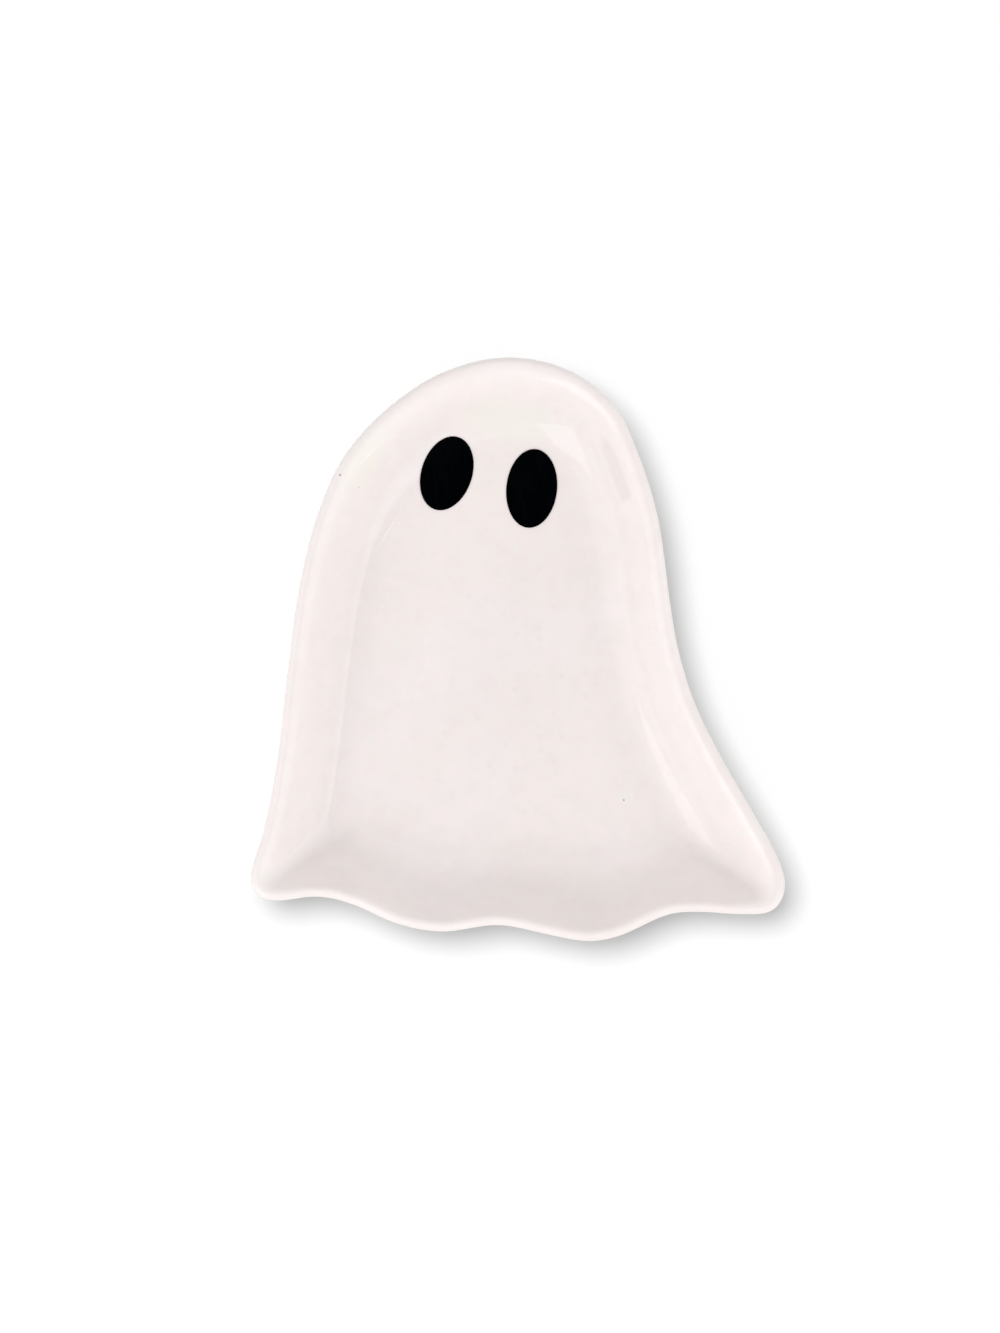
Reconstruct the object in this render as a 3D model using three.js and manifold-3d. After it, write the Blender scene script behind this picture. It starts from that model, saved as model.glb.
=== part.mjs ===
// A ghost-shaped stoneware trinket dish. A fired clay body with a rounded rim stands on a bare foot
// ring. A gloss glaze coat runs from beside the foot, up the outside, over the rim and across the
// well, and a second patch of glaze fills the recess inside the foot. Two black enamel eyes lie on
// the glaze of the well.
//
// Millimetres, +Z up, the ghost's crown towards +Y. The dish stands on z = 0 with the middle of its
// outline over the origin.
import * as THREE from "three";
import { mergeVertices } from "three/addons/utils/BufferGeometryUtils.js";
import Module from "manifold-3d";

const wasm = await Module();
wasm.setup();

// Outside sizes of the glazed dish
const dishLength = 127; // crown to the lowest lobe of the hem
const dishWidth = 116.3; // left tail to right tail
const dishHeight = 18; // table to the top of the rim

// Clay body. An inset is measured inwards from the dish's outline, seen from above.
const rimThickness = 2.8;
const floorThickness = 4;
const floorEasing = 4; // least radius of the bends of the floor's outline, about

// The wall's inside falls in one curve from the top of the rim to the floor. Each side has a run,
// measured across, and two handles that set how slowly the curve leaves the rim and meets the floor.
const crownRun = 17;
const crownShoulder = 6;
const crownBend = 9.5;
const rightRun = 15;
const rightShoulder = 2.8;
const rightBend = 10.5;
const hemRun = 17.5;
const hemShoulder = 1;
const hemBend = 11;
const leftRun = 11;
const leftShoulder = 1.2;
const leftBend = 1.4;
const sides = [
  { facing: [0, 1], run: crownRun, shoulder: crownShoulder, bend: crownBend },
  { facing: [1, 0], run: rightRun, shoulder: rightShoulder, bend: rightBend },
  { facing: [0, -1], run: hemRun, shoulder: hemShoulder, bend: hemBend },
  { facing: [-1, 0], run: leftRun, shoulder: leftShoulder, bend: leftBend },
];

// How full the outside's curve is, as shares of its run or height
const baseTurn = 0.25; // run over which the base bends up into the outside
const outsideDrop = 0.2; // height over which the outside falls straight from the rim

// Foot ring
const footHeight = 2;
const footInset = 14; // to the ring's outer side
const footWidth = 3.4;
const footRounding = 0.6; // of the edges that meet the table

// Glaze
const glazeThickness = 0.4;
const wipedStrip = 0.6; // bare clay between the glaze and each side of the foot ring
const glazedLedge = 0.5; // flat glazed base between the wiped strip and the wall

// Eyes, painted one by one, so each has its own size. Their middles are points of the drawing below.
const eyeThickness = 0.25;
const eyeLift = 0.02; // clearance between the enamel and the glaze under it
const leftEyeLength = 16.4;
const leftEyeWidth = 11;
const rightEyeLength = 17.1;
const rightEyeWidth = 10.9;
const eyes = [
  { name: "left_eye", middle: [-15.4, 38.1], length: leftEyeLength, width: leftEyeWidth, tilt: 18 },
  { name: "right_eye", middle: [3, 34.9], length: rightEyeLength, width: rightEyeWidth, tilt: 6 },
];

// The outline seen from above, clockwise from the crown. It is stretched to the length and width.
const outlineStations = [
  [-2.5, 63.5], // crown
  [11, 60.7],
  [21.4, 52.5],
  [25.7, 43.8], // right temple
  [30.3, 29.5],
  [33.2, 9.5], // right waist
  [34.7, 0.8],
  [38.3, -11.2],
  [43.7, -22.4],
  [51.3, -35.7],
  [56.6, -45.4],
  [58.2, -51.6], // right tail
  [55.6, -56.8],
  [48.5, -57.6],
  [40.5, -57.1], // right notch
  [33.4, -57.4],
  [27.7, -59.7],
  [22.7, -62.1],
  [15.5, -63.5], // right lobe
  [6.5, -62],
  [-4.2, -59.9], // middle notch
  [-16.6, -61.4], // left lobe
  [-26.2, -59.7],
  [-36.2, -55.3],
  [-43.5, -53.7], // left notch
  [-52.5, -54.7],
  [-57, -53.6], // left tail
  [-58.2, -49.4],
  [-55.3, -39.6],
  [-52.3, -24],
  [-50.3, -7], // left waist
  [-47.8, 12],
  [-44, 28],
  [-38, 41.7], // left temple
  [-28.6, 52.2],
  [-16.4, 60.2],
];
const outlinePoints = 144;
const insetStep = 0.5; // between the outlines from which every inset is worked out
const deepestInset = 20;

const whiteGlaze = new THREE.MeshStandardMaterial({ color: 0xf4ece9, roughness: 0.12 });
const bareClay = new THREE.MeshStandardMaterial({ color: 0xd9cbb8, roughness: 0.9 });
const blackEnamel = new THREE.MeshStandardMaterial({ color: 0x050506, roughness: 0.35 });

// A closed curve through some points, in evenly spaced points from the first
function evenlySpaced(points) {
  const curve = new THREE.CatmullRomCurve3(points, true, "centripetal");
  curve.arcLengthDivisions = 10 * outlinePoints;
  return curve.getSpacedPoints(outlinePoints).slice(0, -1);
}

const drawn = evenlySpaced(outlineStations.map(([x, y]) => new THREE.Vector3(x, y, 0)));
const drawnBox = new THREE.Box3().setFromPoints(drawn);

// A point of the drawing, moved and stretched so that the outline fills the length and width
function fitted(point) {
  const size = drawnBox.getSize(new THREE.Vector3());
  const stretch = new THREE.Vector3(dishWidth / size.x, dishLength / size.y, 0);
  return point.clone().sub(drawnBox.getCenter(new THREE.Vector3())).multiply(stretch);
}

const neighbours = (points, i) => [points.at(i - 1), points[(i + 1) % points.length]];

// Every point moved inwards, square to the line between its neighbours
function movedInwards(points, distance) {
  return points.map((point, i) => {
    const [before, after] = neighbours(points, i);
    const forwards = after.clone().sub(before).normalize();
    return point.clone().add(new THREE.Vector3(forwards.y, -forwards.x, 0).multiplyScalar(distance));
  });
}

// Every point drawn towards the middle of its neighbours, which keeps bends from getting tighter
// than a radius while the outline moves inwards by one step
function eased(points, radius) {
  return points.map((point, i) => {
    const [before, after] = neighbours(points, i);
    const middle = before.clone().add(after).divideScalar(2);
    const share = (2 * radius * insetStep) / before.distanceToSquared(point);
    return point.clone().lerp(middle, Math.min(share, 0.5));
  });
}

// The outline moved in by each whole number of steps. It is eased more and more towards the floor,
// which softens the scallops and keeps the tails from folding.
function insetOutlines() {
  const outlines = [drawn.map(fitted)];
  const steps = Math.ceil(deepestInset / insetStep);
  for (let step = 1; step <= steps; step++) {
    const radius = (floorEasing * step) / steps;
    outlines.push(evenlySpaced(eased(movedInwards(outlines.at(-1), insetStep), radius)));
  }
  return outlines;
}

const outlines = insetOutlines();

// A point of the outline, by its number, moved in by any inset, at a height
function pointAt(i, inset, height) {
  const step = Math.min(Math.floor(inset / insetStep), outlines.length - 2);
  const share = inset / insetStep - step;
  return outlines[step][i].clone().lerp(outlines[step + 1][i], share).setZ(height);
}

const ring = (inset, height) => outlines[0].map((_, i) => pointAt(i, inset, height));

// The wall's run, shoulder and bend at a point of the outline. The sides that it faces share in
// them, and the shares add up to one because the sides are square to each other.
function wallAt(i) {
  const [before, after] = neighbours(outlines.at(-1), i);
  const forwards = after.clone().sub(before).normalize();
  const wall = { run: 0, shoulder: 0, bend: 0 };
  for (const side of sides) {
    const [x, y] = side.facing;
    const share = Math.max(0, y * forwards.x - x * forwards.y) ** 2;
    wall.run += share * side.run;
    wall.shoulder += share * side.shoulder;
    wall.bend += share * side.bend;
  }
  return wall;
}

// Two triangles for each step along a pair of rings, split along the shorter diagonal, so that two
// solids that share the rings share the faces too
function bandTriangles(points, low, high) {
  const triangles = [];
  for (let i = 0; i < outlinePoints; i++) {
    const next = (i + 1) % outlinePoints;
    const [a, b, c, d] = [low + i, low + next, high + i, high + next];
    const fromA = points[a].distanceTo(points[d]) < points[b].distanceTo(points[c]);
    triangles.push(...(fromA ? [a, c, d, a, d, b] : [a, c, b, b, c, d]));
  }
  return triangles;
}

// A flat cap over a ring, which faces up or down
function capTriangles(points, first, facesUp) {
  const last = points.length - 1;
  const contour = points.map(({ x, y }) => new THREE.Vector2(x, y)).reverse();
  return THREE.ShapeUtils.triangulateShape(contour, []).flatMap((face) => {
    const [a, b, c] = face.map((corner) => first + last - corner);
    return facesUp ? [a, b, c] : [a, c, b];
  });
}

// A closed solid through rings of points, which climb on its outside. Its ends are flat caps, or the
// last ring meets the first.
function loft(rings, { endless = false } = {}) {
  const points = rings.flat();
  const triangles = rings.flatMap((_, r) => {
    const next = (r + 1) % rings.length;
    return next || endless ? bandTriangles(points, r * outlinePoints, next * outlinePoints) : [];
  });
  if (!endless) {
    triangles.push(...capTriangles(rings[0], 0, false));
    triangles.push(...capTriangles(rings.at(-1), points.length - outlinePoints, true));
  }
  const positions = points.flatMap((point) => point.toArray());
  const geometry = new THREE.BufferGeometry();
  geometry.setAttribute("position", new THREE.Float32BufferAttribute(positions, 3));
  geometry.setIndex(triangles);
  geometry.computeVertexNormals();
  return geometry;
}

// The clay's cross-section, from beside the foot ring, up the outside, over the rim and down to the
// floor of the well, for one wall. Each run is a curve, with inset as x and height over the base
// as y, and its number of steps.
function clayRuns(wall) {
  const radius = rimThickness / 2;
  const rimInset = glazeThickness + radius;
  const rimHeight = dishHeight - footHeight - glazeThickness - radius;
  const ledgeEnd = new THREE.Vector2(footInset - wipedStrip, 0);
  const baseEnd = new THREE.Vector2(ledgeEnd.x - glazedLedge, 0);
  const baseControl = new THREE.Vector2(THREE.MathUtils.lerp(baseEnd.x, glazeThickness, baseTurn), 0);
  const outsideControl = new THREE.Vector2(glazeThickness, rimHeight * (1 - outsideDrop));
  const outsideEnd = new THREE.Vector2(glazeThickness, rimHeight);
  const rimArc = new THREE.EllipseCurve(
    rimInset, rimHeight, radius, radius,
    Math.PI, Math.PI / 2, true,
  );
  const rimTop = new THREE.Vector2(rimInset, rimHeight + radius);
  const shoulder = new THREE.Vector2(rimInset + wall.shoulder, rimTop.y);
  const floorStart = new THREE.Vector2(rimInset + wall.run, floorThickness);
  const bend = new THREE.Vector2(floorStart.x - wall.bend, floorThickness);
  return [
    [new THREE.LineCurve(ledgeEnd, baseEnd), 1],
    [new THREE.CubicBezierCurve(baseEnd, baseControl, outsideControl, outsideEnd), 5],
    [rimArc, 3],
    [new THREE.CubicBezierCurve(rimTop, shoulder, bend, floorStart), 8],
  ];
}

const sections = outlines[0].map((_, i) => clayRuns(wallAt(i)));

// The sections' rings of points, from their first run or a later one, at the clay's surface or a
// thickness outside it
function sectionRings({ from = 0, thickness = 0 } = {}) {
  return sections[0].slice(from).flatMap(([, steps], run) =>
    Array.from({ length: steps + 1 }, (_, step) =>
      sections.map((section, i) => {
        const curve = section[from + run][0];
        const along = curve.getTangent(step / steps);
        const outwards = new THREE.Vector2(-along.y, along.x);
        const at = curve.getPoint(step / steps).addScaledVector(outwards, thickness);
        return pointAt(i, at.x, at.y);
      }),
    ).slice(run ? 1 : 0),
  );
}

// Between three.js and manifold-3d
function solidOf(geometry) {
  const bare = geometry.clone().deleteAttribute("normal").deleteAttribute("uv");
  const merged = mergeVertices(bare);
  const vertProperties = merged.attributes.position.array;
  const triVerts = new Uint32Array(merged.index.array);
  return new wasm.Manifold(new wasm.Mesh({ numProp: 3, vertProperties, triVerts }));
}

function geometryOf(solid) {
  const { vertProperties, triVerts } = solid.getMesh();
  const geometry = new THREE.BufferGeometry();
  geometry.setAttribute("position", new THREE.BufferAttribute(vertProperties, 3));
  geometry.setIndex(new THREE.BufferAttribute(triVerts, 1));
  geometry.computeVertexNormals();
  return geometry;
}

const clayRings = sectionRings();
const glazeRings = sectionRings({ thickness: glazeThickness });

const stonewareBody = () => loft(clayRings);

// The coat's underside follows the clay back from the floor to the foot, and its face returns
const glazeCoat = () => loft([...clayRings.toReversed(), ...glazeRings]);

function baseGlaze() {
  const inset = footInset + footWidth + wipedStrip;
  return loft([ring(inset, -glazeThickness), ring(inset, 0)]);
}

function footRing() {
  const innerInset = footInset + footWidth;
  const roundings = [0, 45, 90].map((degrees) => {
    const angle = THREE.MathUtils.degToRad(degrees);
    return [footRounding * (1 - Math.sin(angle)), footRounding * (1 - Math.cos(angle))];
  });
  const outside = roundings.map(([aside, up]) => ring(footInset + aside, up));
  const inside = roundings.toReversed().map(([aside, up]) => ring(innerInset - aside, up));
  const top = [ring(footInset, footHeight), ring(innerInset, footHeight)];
  return loft([...outside, ...top, ...inside], { endless: true });
}

// A sheet of enamel over the whole well, from which the eyes are cut
function enamelSheet() {
  const raised = (lift) =>
    sectionRings({ from: 3, thickness: glazeThickness }).map((points) =>
      points.map((point) => point.setZ(point.z + lift)),
    );
  return solidOf(loft([...raised(eyeLift).toReversed(), ...raised(eyeLift + eyeThickness)]));
}

// An oval of the sheet, its top tilted clockwise
function eyeGeometry({ middle, length, width, tilt }, sheet) {
  const { x, y } = fitted(new THREE.Vector3(...middle, 0));
  const oval = new THREE.Shape().absellipse(
    x, y, width / 2, length / 2,
    0, 2 * Math.PI, false, THREE.MathUtils.degToRad(-tilt),
  );
  const cutter = new THREE.ExtrudeGeometry(oval, {
    depth: 2 * dishHeight,
    bevelEnabled: false,
    curveSegments: 20,
  });
  return geometryOf(sheet.intersect(solidOf(cutter)));
}

function piece(name, geometry, material) {
  const mesh = new THREE.Mesh(geometry, material);
  mesh.name = name;
  return mesh;
}

const enamel = enamelSheet();
const ware = new THREE.Group();
ware.position.z = footHeight;
ware.add(
  piece("stoneware_body", stonewareBody(), bareClay),
  piece("glaze_coat", glazeCoat(), whiteGlaze),
  piece("base_glaze", baseGlaze(), whiteGlaze),
  ...eyes.map((eye) => piece(eye.name, eyeGeometry(eye, enamel), blackEnamel)),
);

const dish = new THREE.Group();
dish.add(piece("foot_ring", footRing(), bareClay), ware);

export default dish;
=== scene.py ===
import math

import bpy
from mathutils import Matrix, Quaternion, Vector


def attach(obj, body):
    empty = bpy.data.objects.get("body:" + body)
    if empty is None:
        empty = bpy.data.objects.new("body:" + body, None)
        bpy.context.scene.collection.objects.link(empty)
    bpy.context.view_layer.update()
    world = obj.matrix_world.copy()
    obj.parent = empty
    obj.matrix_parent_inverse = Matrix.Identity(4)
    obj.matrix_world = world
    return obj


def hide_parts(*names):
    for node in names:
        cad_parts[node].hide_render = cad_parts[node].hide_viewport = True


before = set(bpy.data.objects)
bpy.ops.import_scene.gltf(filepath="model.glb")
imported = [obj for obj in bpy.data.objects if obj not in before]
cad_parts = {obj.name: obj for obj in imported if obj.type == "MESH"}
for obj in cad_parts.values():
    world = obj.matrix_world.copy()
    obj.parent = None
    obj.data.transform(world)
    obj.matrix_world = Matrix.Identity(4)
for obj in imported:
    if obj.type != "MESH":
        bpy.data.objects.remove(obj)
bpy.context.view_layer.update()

# A ghost-shaped trinket dish in white gloss glaze, seen straight from above. Everything is in
# metres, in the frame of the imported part: +Z up, the ghost's crown towards +Y.

MM = 0.001
SAME_PLACE = 0.01 * MM  # points and heights this close count as one
LEVEL = 0.9999  # a face is level if its normal rises or falls at least this much
FACES_UP = "faces_up"  # the name of an attribute on the glaze


# Working on one piece

def pick(piece):
    """Makes a piece the only selected one, and the active one."""
    bpy.ops.object.select_all(action="DESELECT")
    piece.select_set(True)
    bpy.context.view_layer.objects.active = piece


def open_up(piece, chosen="FACE"):
    """Starts edit mode on a piece with nothing selected."""
    pick(piece)
    bpy.ops.object.mode_set(mode="EDIT")
    bpy.ops.mesh.select_mode(type=chosen)
    bpy.ops.mesh.select_all(action="DESELECT")
    bpy.ops.object.mode_set(mode="OBJECT")


def choose_faces(piece, wanted):
    """Selects the faces that pass a test, and goes to edit mode."""
    for face in piece.data.polygons:
        face.select = wanted(face)
    bpy.ops.object.mode_set(mode="EDIT")


def choose_edges(piece, wanted):
    """Selects the edges whose two ends pass a test, and goes to edit mode."""
    points = piece.data.vertices
    for edge in piece.data.edges:
        edge.select = wanted(*(points[end].co for end in edge.vertices))
    bpy.ops.object.mode_set(mode="EDIT")


def close_up():
    bpy.ops.object.mode_set(mode="OBJECT")


def shaped_by(piece, kind, **settings):
    """Adds a modifier to a piece and applies it."""
    pick(piece)
    modifier = piece.modifiers.new(kind.title(), kind)
    for name, value in settings.items():
        setattr(modifier, name, value)
    bpy.ops.object.modifier_apply(modifier=modifier.name)


def smooth(piece):
    pick(piece)
    bpy.ops.object.shade_smooth()


def mark_upward(piece):
    """Writes on each point of a piece whether it faces up: 0 where it faces sideways or down, and
    1 from about 9 degrees above that."""
    upward = piece.data.attributes.new(FACES_UP, "FLOAT", "POINT")
    for mark, point in zip(upward.data, piece.data.vertices):
        mark.value = min(max(point.normal.z / 0.15, 0), 1)


def stand_for(piece, node, finish):
    """Puts a piece in place of its CAD node, in its finish."""
    piece.data.materials.clear()
    piece.data.materials.append(finish)
    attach(piece, "root")
    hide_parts(node)


# Materials

class Value:
    """A socket with a number on it. Sums on it add Math nodes to its material."""

    def __init__(self, recipe, socket):
        self.recipe = recipe
        self.socket = socket

    def sum_of(self, operation, other):
        return self.recipe.add("ShaderNodeMath", {"operation": operation}, {0: self, 1: other})

    def __add__(self, other):
        return self.sum_of("ADD", other)

    def __sub__(self, other):
        return self.sum_of("SUBTRACT", other)

    def __rsub__(self, other):
        return (self * -1) + other

    def __mul__(self, other):
        return self.sum_of("MULTIPLY", other)

    __radd__ = __add__

    def eased(self, start, end):
        """0 at start, 1 at end, with soft shoulders."""
        settings = {"interpolation_type": "SMOOTHSTEP", "clamp": True}
        sockets = {"Value": self, "From Min": start, "From Max": end}
        return self.recipe.add("ShaderNodeMapRange", settings, sockets)

    def most(self, other):
        return self.sum_of("MAXIMUM", other)


class Recipe:
    """A material, or the world, built up node by node."""

    def __init__(self, owner, output):
        owner.use_nodes = True
        self.owner = owner
        self.tree = owner.node_tree
        self.tree.nodes.clear()
        self.output = self.tree.nodes.new(output)

    def add(self, kind, settings=None, sockets=None, out=0):
        """Adds a node: its settings first, then the values or links of its sockets."""
        node = self.tree.nodes.new(kind)
        for name, value in (settings or {}).items():
            setattr(node, name, value)
        for name, value in (sockets or {}).items():
            self.feed(self.socket(node.inputs, name), value)
        return Value(self, self.socket(node.outputs, out))

    def socket(self, sockets, name):
        if isinstance(name, int):
            return [socket for socket in sockets if socket.enabled][name]
        return next(socket for socket in sockets if socket.enabled and socket.name == name)

    def feed(self, socket, value):
        if isinstance(value, Value):
            self.tree.links.new(value.socket, socket)
        else:
            socket.default_value = value

    def finish(self, shader):
        self.feed(self.output.inputs["Surface"], shader)
        return self.owner

    def mix(self, share, first, second):
        """A colour between two others."""
        sockets = {"Factor": share, "A": first, "B": second}
        return self.add("ShaderNodeMix", {"data_type": "RGBA"}, sockets)

    def place(self):
        return self.add("ShaderNodeTexCoord", out="Object")

    def noise(self, size, detail=2.0, roughness=0.5, at=None):
        """Cloudy noise about 0.5, whose patches are about as wide as a size."""
        sockets = {
            "Vector": at or self.place(),
            "Scale": 1 / size,
            "Detail": detail,
            "Roughness": roughness,
        }
        return self.add("ShaderNodeTexNoise", None, sockets)

    def dots(self, spacing):
        """Distance to the nearest of many scattered points, in metres, and that point's own chance."""
        node = self.add("ShaderNodeTexVoronoi", None, {"Vector": self.place(), "Scale": 1 / spacing})
        colour = Value(self, node.socket.node.outputs["Color"])
        chance = self.add("ShaderNodeSeparateColor", None, {"Color": colour})
        return node * spacing, chance

    def attribute(self, name):
        """The number that each point of a piece carries under a name, or 0 where it has none."""
        return self.add("ShaderNodeAttribute", {"attribute_name": name}, out="Fac")

    def spot(self, x, y, width, length, turn=0, start=0.2):
        """1 in the middle of an oval, 0 outside it. It is measured in plan, in millimetres, and
        turned anticlockwise by some degrees."""
        oval = self.add("ShaderNodeMapping", {"vector_type": "TEXTURE"}, {
            "Vector": self.place(),
            "Location": (x * MM, y * MM, 0),
            "Rotation": (0, 0, math.radians(turn)),
            "Scale": (width / 2 * MM, length / 2 * MM, 1),
        })
        distance = self.add("ShaderNodeVectorMath", {"operation": "LENGTH"}, {0: oval}, out="Value")
        return 1 - distance.eased(start, 1)


def material(name):
    return Recipe(bpy.data.materials.new(name), "ShaderNodeOutputMaterial")


def colour(code):
    """Blender's linear colour for a web colour."""
    parts = [int(code[i:i + 2], 16) / 255 for i in (0, 2, 4)]
    linear = [part / 12.92 if part <= 0.04045 else ((part + 0.055) / 1.055) ** 2.4 for part in parts]
    return (*linear, 1)


# Where the glaze is marked, and where shade, a reflection and highlights are painted on it, in
# millimetres: the middle's x and y, the width and the length, and the anticlockwise turn in degrees.
# A pinhole is round, so it has no length and no turn.

PAINTED_SHADE_ON_FLOOR = (-2, -4, 42, 94, -3)
BUSY_FLOOR = (-1, -8, 58, 84, 0)
GREEN_REFLECTION_AT_CROWN = (-1.6, 49.8, 27, 11.5, -10)
GREEN_AT_LEFT = (-33.4, 40, 8, 25, -30)
GREEN_AT_PINHOLE = (23.2, -32.6, 5, 4, 0)
UPPER_HIGHLIGHT_STREAK = (-32.1, 42.3, 1.1, 10, -44)
LOWER_HIGHLIGHT_STREAK = (-28.4, 26, 0.9, 14, -33)
PINHOLES = ((-38.5, 37.8, 0.6), (23.2, -32.9, 0.44), (-34.5, 35.2, 0.24))


def white_glaze():
    """Warm white gloss glaze with faint clouds, mottling and dapples, a painted shade over the middle
    of the floor, small raised specks painted pale as highlights, a few dark pinholes, two slightly
    raised streaks painted pale as highlights, and greenish tints: a painted reflection on the crown's
    wall, and a tint at the upper left and by a pinhole."""
    glaze = material("white_glaze")
    clouds = glaze.noise(26 * MM, detail=1)
    tone = glaze.mix(clouds.eased(0.35, 0.65), colour("f6edec"), colour("f5ebe9"))
    mottle = glaze.noise(4.5 * MM, detail=4, roughness=0.6)
    tone = glaze.mix(mottle.eased(0.35, 0.7) * 0.36, tone, colour("ebe3e1"))
    casts = glaze.noise(3 * MM, detail=3, roughness=0.65)
    tone = glaze.mix(casts.eased(0.35, 0.7) * 0.55, tone, colour("f1ede9"))

    # Painted shade: a soft, slightly darker patch over the middle of the well floor, standing in for
    # shading there.
    shade = glaze.spot(*PAINTED_SHADE_ON_FLOOR)
    dapple_distance, dapple_chance = glaze.dots(2.6 * MM)
    dapples = (1 - dapple_distance.eased(0.1 * MM, 1.1 * MM)) * dapple_chance.eased(0.15, 0.7)
    patches = glaze.noise(9 * MM, detail=1).eased(0.4, 0.55)
    busy = glaze.spot(*BUSY_FLOOR, start=0.4) * patches * 0.85 + 0.15
    tone = glaze.mix(shade * 0.17 + dapples * busy * 0.28, tone, colour("e5dddc"))

    inside = glaze.attribute(FACES_UP)
    # Painted reflection: the greenish patch on the crown's wall stands in for a reflection in the
    # glaze. The patches at the upper left and by a pinhole are a greenish tint.
    green_tint_and_reflection = glaze.spot(*GREEN_REFLECTION_AT_CROWN, start=0.4)
    green_tint_and_reflection = green_tint_and_reflection.most(glaze.spot(*GREEN_AT_LEFT))
    green_tint_and_reflection = green_tint_and_reflection.most(glaze.spot(*GREEN_AT_PINHOLE))
    tone = glaze.mix(green_tint_and_reflection * inside * 0.62, tone, colour("f1eee5"))

    # Painted highlight: small raised specks, painted pale where they would catch a glint.
    speck_distance, speck_chance = glaze.dots(3.6 * MM)
    glint_specks = (1 - speck_distance.eased(0.1 * MM, 0.3 * MM)) * speck_chance.eased(0.66, 0.68)
    tone = glaze.mix(glint_specks * 0.7, tone, colour("fdf8f6"))

    pits = None
    for x, y, width in PINHOLES:
        pit = glaze.spot(x, y, width, width, start=0.4)
        pits = pit if pits is None else pits.most(pit)
    pits = pits * inside
    tone = glaze.mix(pits * 0.75, tone, colour("8c7f7c"))

    # Painted highlight: two pale, slightly raised streaks on the upper left of the well, standing in
    # for reflections there.
    highlight_streaks = glaze.spot(*UPPER_HIGHLIGHT_STREAK).most(glaze.spot(*LOWER_HIGHLIGHT_STREAK)) * inside
    tone = glaze.mix(highlight_streaks * 0.4, tone, colour("fdf6f4"))

    swell = glaze.noise(16 * MM, detail=0) * 0.12
    ripple = glaze.noise(3.5 * MM, detail=1) * 0.012
    height = swell + ripple + highlight_streaks * 0.06 + glint_specks * 0.07 - pits * 0.15
    relief = glaze.add("ShaderNodeBump", None, {"Strength": 1.0, "Distance": MM, "Height": height})
    shader = glaze.add("ShaderNodeBsdfPrincipled", None, {
        "Base Color": tone,
        "Roughness": 0.05 + mottle * 0.05,
        "IOR": 1.5,
        "Normal": relief,
    })
    return glaze.finish(shader)


def bare_clay():
    """Fired clay, wiped clean of glaze: buff, matte, with fine grog."""
    clay = material("bare_clay")
    grain = clay.noise(0.5 * MM, detail=4, roughness=0.65)
    clouds = clay.noise(9 * MM)
    tone = clay.mix(clouds.eased(0.35, 0.65), colour("dccfbd"), colour("d2c2ad"))
    tone = clay.mix(grain.eased(0.45, 0.75) * 0.5, tone, colour("bfae97"))
    grog_distance, grog_chance = clay.dots(2.2 * MM)
    grog = (1 - grog_distance.eased(0.12 * MM, 0.25 * MM)) * grog_chance.eased(0.6, 0.62)
    tone = clay.mix(grog * 0.6, tone, colour("8d7a66"))
    height = grain * 0.08 - grog * 0.03
    relief = clay.add("ShaderNodeBump", None, {"Strength": 1.0, "Distance": MM, "Height": height})
    shader = clay.add("ShaderNodeBsdfPrincipled", None, {
        "Base Color": tone,
        "Roughness": 0.82 + grain * 0.12,
        "Normal": relief,
    })
    return clay.finish(shader)


def black_enamel():
    """Black enamel with a low sheen and faint brush marks along each oval."""
    enamel = material("black_enamel")
    stretched = enamel.add("ShaderNodeMapping", {"vector_type": "POINT"}, {
        "Vector": enamel.place(),
        "Rotation": (0, 0, math.radians(12)),
        "Scale": (1, 0.2, 1),
    })
    strokes = enamel.noise(0.9 * MM, at=stretched)
    tone = enamel.mix(strokes.eased(0.4, 0.7), colour("000102"), colour("020304"))
    relief = enamel.add("ShaderNodeBump", None, {
        "Strength": 1.0,
        "Distance": MM,
        "Height": strokes * 0.01,
    })
    shader = enamel.add("ShaderNodeBsdfPrincipled", None, {
        "Base Color": tone,
        "Roughness": 0.2 + strokes * 0.1,
        "Specular IOR Level": 0.012,
        "Normal": relief,
    })
    return enamel.finish(shader)


# Camera, straight above with a long lens

RIM_HEIGHT = 18 * MM
CAMERA_DISTANCE = 1.5
CAMERA_X = -3.86 * MM
CAMERA_Y = -3.73 * MM
FRAME_LENGTH = 288.9 * MM  # of the picture's long side, at the rim's height
SENSOR = 36

lens = bpy.data.cameras.new("camera")
lens.sensor_width = SENSOR
lens.lens = SENSOR * CAMERA_DISTANCE / FRAME_LENGTH
camera = bpy.data.objects.new("camera", lens)
camera.location = (CAMERA_X, CAMERA_Y, RIM_HEIGHT + CAMERA_DISTANCE)
bpy.context.scene.collection.objects.link(camera)
bpy.context.scene.camera = camera


# Pieces

FOOT_HEIGHT = 2 * MM
WELL_FLOOR = 6.4 * MM
CLAY_FLOOR = 6 * MM
GLAZE = 0.4 * MM
CAP_BORDER = 0.8 * MM  # of small faces round a flat cap, which keeps it flat when it is rounded

EYE_WIDTH = 11.08 * MM
EYE_SIDES = 96
EYE_RINGS = (0.015, 0.03, 0.06, 0.08, 0.1, 0.1)  # from the edge inwards, in shares of the width
ENAMEL_THICKNESS = 0.2 * MM
ENAMEL_LIFT = 0.02 * MM
ENAMEL_EDGE = 0.09 * MM
OVER_THE_DISH = 50 * MM  # where an eye starts before it is dropped onto the glaze


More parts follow.
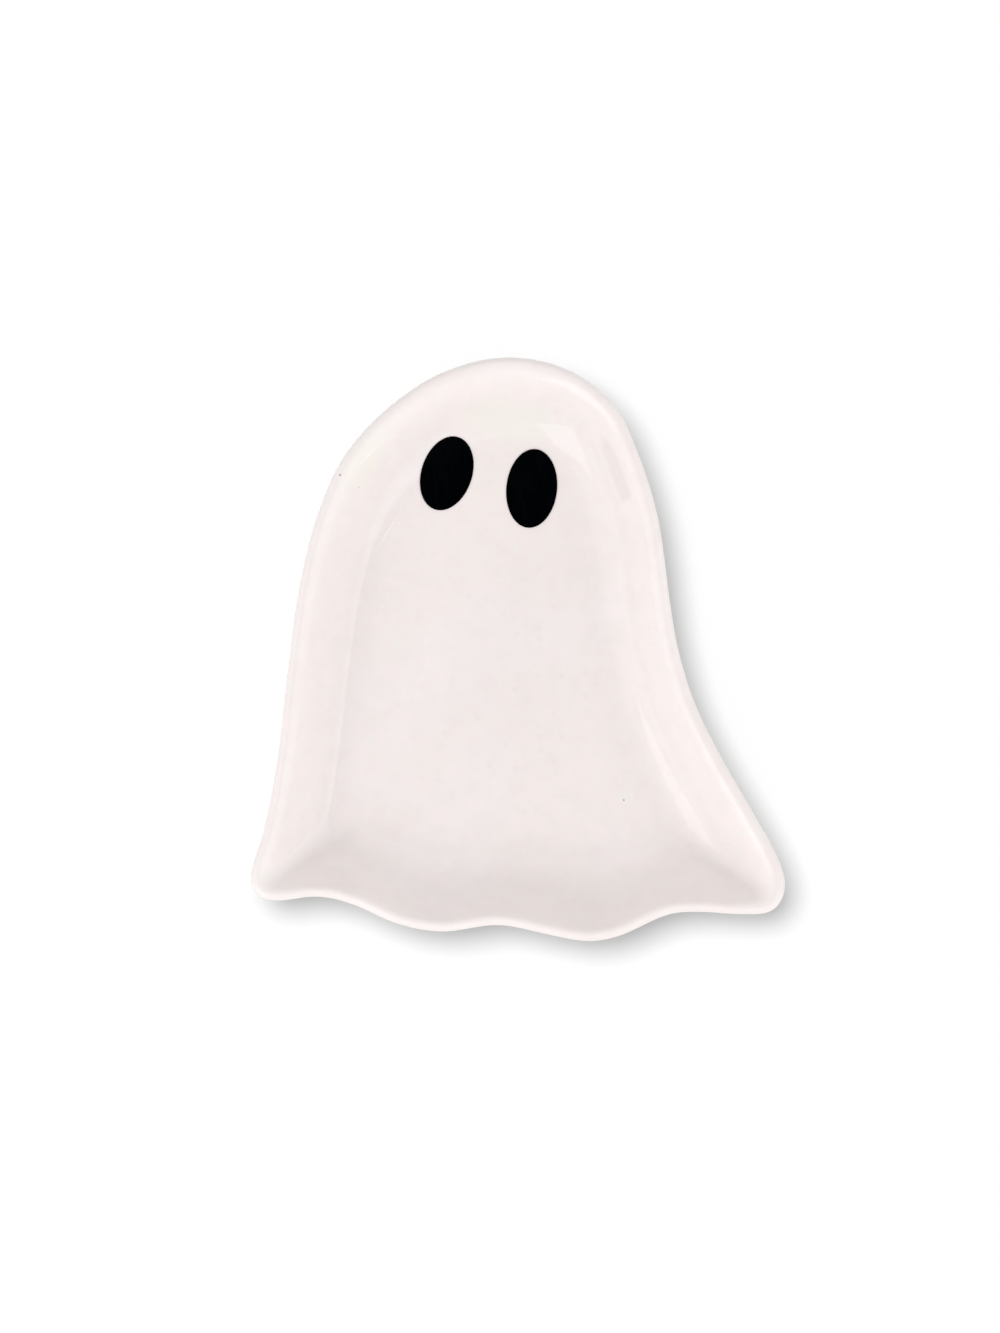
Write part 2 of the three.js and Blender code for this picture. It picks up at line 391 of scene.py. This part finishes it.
def refined(node, name, flat_heights, levels, kept_edges=None):
    """A smooth copy of a lofted CAD node. Its flat caps become whole faces with a border, and the
    rest is rounded by subdivision. Edges that pass the test stay sharp."""
    piece = bpy.data.objects.new(name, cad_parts[node].data.copy())
    bpy.context.scene.collection.objects.link(piece)
    open_up(piece)
    choose_faces(piece, lambda face: True)
    bpy.ops.mesh.remove_doubles(threshold=SAME_PLACE)
    close_up()
    for height in flat_heights:
        def on_cap(face):
            level = abs(face.normal.z) > LEVEL
            return level and abs(face.center.z - height) < SAME_PLACE and len(face.vertices) == 3
        open_up(piece)
        choose_faces(piece, on_cap)
        bpy.ops.mesh.dissolve_faces()
        bpy.ops.mesh.inset(thickness=CAP_BORDER)
        close_up()
    open_up(piece)
    choose_faces(piece, lambda face: len(face.vertices) == 3)
    bpy.ops.mesh.tris_convert_to_quads(
        face_threshold=math.pi,
        shape_threshold=math.pi,
        topology_influence=1.5,
    )
    close_up()
    if kept_edges:
        open_up(piece, "EDGE")
        choose_edges(piece, kept_edges)
        bpy.ops.transform.edge_crease(value=1)
        close_up()
    shaped_by(piece, "SUBSURF", levels=levels, render_levels=levels, use_limit_surface=False)
    smooth(piece)
    return piece


def painted_eye(name, x, y, length, tilt, glaze):
    """An oval of enamel that lies on the glaze, with a rounded edge. It leans clockwise by some
    degrees."""
    bpy.ops.object.select_all(action="DESELECT")
    bpy.ops.mesh.primitive_circle_add(
        vertices=EYE_SIDES,
        radius=0.5,
        fill_type="NGON",
        location=(0, 0, 0),
    )
    eye = bpy.context.object
    eye.name = name
    bpy.ops.object.mode_set(mode="EDIT")
    bpy.ops.mesh.select_all(action="SELECT")
    for step in EYE_RINGS:
        bpy.ops.mesh.inset(thickness=step)
    bpy.ops.mesh.poke()
    bpy.ops.mesh.select_all(action="SELECT")
    bpy.ops.transform.resize(value=(EYE_WIDTH, length, 1), center_override=(0, 0, 0))
    bpy.ops.transform.rotate(
        value=math.radians(tilt),
        orient_axis="Z",
        center_override=(0, 0, 0),
    )
    bpy.ops.transform.translate(value=(x, y, OVER_THE_DISH))
    bpy.ops.object.mode_set(mode="OBJECT")
    shaped_by(
        eye,
        "SHRINKWRAP",
        target=glaze,
        wrap_method="PROJECT",
        use_project_z=True,
        use_negative_direction=True,
        use_positive_direction=False,
        offset=ENAMEL_LIFT,
    )
    shaped_by(eye, "SOLIDIFY", thickness=ENAMEL_THICKNESS, offset=1)
    shaped_by(
        eye,
        "BEVEL",
        width=ENAMEL_EDGE,
        segments=3,
        limit_method="ANGLE",
        angle_limit=math.radians(40),
    )
    smooth(eye)
    return eye


glaze_finish = white_glaze()
clay_finish = bare_clay()
enamel_finish = black_enamel()

glaze = refined("glaze_coat", "gloss_glaze", (WELL_FLOOR, CLAY_FLOOR), 2)
mark_upward(glaze)
stand_for(glaze, "glaze_coat", glaze_finish)

clay = refined("stoneware_body", "fired_clay", (CLAY_FLOOR, FOOT_HEIGHT), 1)
stand_for(clay, "stoneware_body", clay_finish)

foot = refined(
    "foot_ring",
    "bare_foot",
    (),
    2,
    lambda a, b: min(a.z, b.z) > FOOT_HEIGHT - SAME_PLACE,
)
stand_for(foot, "foot_ring", clay_finish)

recess = refined("base_glaze", "recess_glaze", (FOOT_HEIGHT, FOOT_HEIGHT - GLAZE), 2)
stand_for(recess, "base_glaze", glaze_finish)

left_eye = painted_eye(
    "left_painted_eye",
    x=-15.49 * MM,
    y=38.44 * MM,
    length=16.58 * MM,
    tilt=18.3,
    glaze=glaze,
)
stand_for(left_eye, "left_eye", enamel_finish)
right_eye = painted_eye(
    "right_painted_eye",
    x=3.06 * MM,
    y=35.16 * MM,
    length=17.26 * MM,
    tilt=6,
    glaze=glaze,
)
stand_for(right_eye, "right_eye", enamel_finish)


# Studio: a pale floor, a soft sky and a large softbox beyond the left tail

FLOOR_GREY = 0.15
FLOOR_LIFT = 0.32  # its own light, which only the camera and reflections see
SKY_LEVEL = 1.045
SKY_SIDES = 0.43  # how much brighter the left and right are, and darker the crown's side and the hem's
SKY_TO_RIGHT = 0.1  # how much brighter the right is, and darker the left
SKY_TO_HEM = 0.15  # how much brighter the hem's side is, and darker the crown's
SKY_OVERHEAD = 0.63  # how much darker it is round the camera


def studio_floor():
    floor = material("studio_floor")
    paper = floor.add("ShaderNodeBsdfDiffuse", None, {
        "Color": (FLOOR_GREY, FLOOR_GREY, FLOOR_GREY, 1),
    })
    seen = floor.add("ShaderNodeLightPath", out="Is Camera Ray")
    shown = Value(floor, seen.socket.node.outputs["Is Glossy Ray"])
    lift = floor.add("ShaderNodeEmission", None, {
        "Color": (1, 1, 1, 1),
        "Strength": (seen + shown) * FLOOR_LIFT,
    })
    return floor.finish(floor.add("ShaderNodeAddShader", None, {0: paper, 1: lift}))


bpy.ops.object.select_all(action="DESELECT")
bpy.ops.mesh.primitive_plane_add(size=8, location=(0, 0, 0))
floor = bpy.context.object
floor.name = "studio_floor"
floor.data.materials.append(studio_floor())


def soft_sky():
    """A pale room, pure white where the camera sees it."""
    sky = Recipe(bpy.data.worlds.new("soft_sky"), "ShaderNodeOutputWorld")
    bpy.context.scene.world = sky.owner
    towards = sky.add("ShaderNodeTexCoord", out="Generated")
    x = sky.add("ShaderNodeSeparateXYZ", None, {"Vector": towards}, out="X")
    y = Value(sky, x.socket.node.outputs["Y"])
    z = Value(sky, x.socket.node.outputs["Z"])
    sides = x * x - y * y
    overhead = z.eased(0.85, 0.97)
    level = SKY_LEVEL + sides * SKY_SIDES + x * SKY_TO_RIGHT - y * SKY_TO_HEM - overhead * SKY_OVERHEAD
    seen = sky.add("ShaderNodeLightPath", out="Is Camera Ray")
    strength = seen.most(level)
    shader = sky.add("ShaderNodeBackground", None, {"Color": (1, 1, 1, 1), "Strength": strength})
    return sky.finish(shader)


soft_sky()


def hung(light, azimuth, elevation, distance, turn=0):
    """Hangs a light where it is seen from the dish at two angles in degrees, facing the dish and
    turned about its axis."""
    around, up = math.radians(azimuth), math.radians(elevation)
    towards = Vector((math.cos(around) * math.cos(up), math.sin(around) * math.cos(up), math.sin(up)))
    holder = bpy.data.objects.new(light.name, light)
    holder.location = towards * distance
    holder.rotation_mode = "QUATERNION"
    facing = towards.to_track_quat("Z", "Y")
    holder.rotation_quaternion = facing @ Quaternion((0, 0, 1), math.radians(turn))
    bpy.context.scene.collection.objects.link(holder)
    return holder


softbox = bpy.data.lights.new("softbox", "AREA")
softbox.shape = "SQUARE"
softbox.size = 1.3
softbox.energy = 6.7
hung(softbox, azimuth=230, elevation=38, distance=1.9, turn=45)

# A wide lamp for the floor alone, nearly overhead, which gives the dish its soft shadow

floor_lamp = bpy.data.lights.new("floor_lamp", "SUN")
floor_lamp.angle = math.radians(28)
floor_lamp.energy = 12
shadow_catchers = bpy.data.collections.new("shadow_catchers")
shadow_catchers.objects.link(floor)
floor_lamp_holder = hung(floor_lamp, azimuth=135, elevation=76, distance=1.5)
floor_lamp_holder.light_linking.receiver_collection = shadow_catchers

bpy.context.scene.view_settings.view_transform = "Standard"
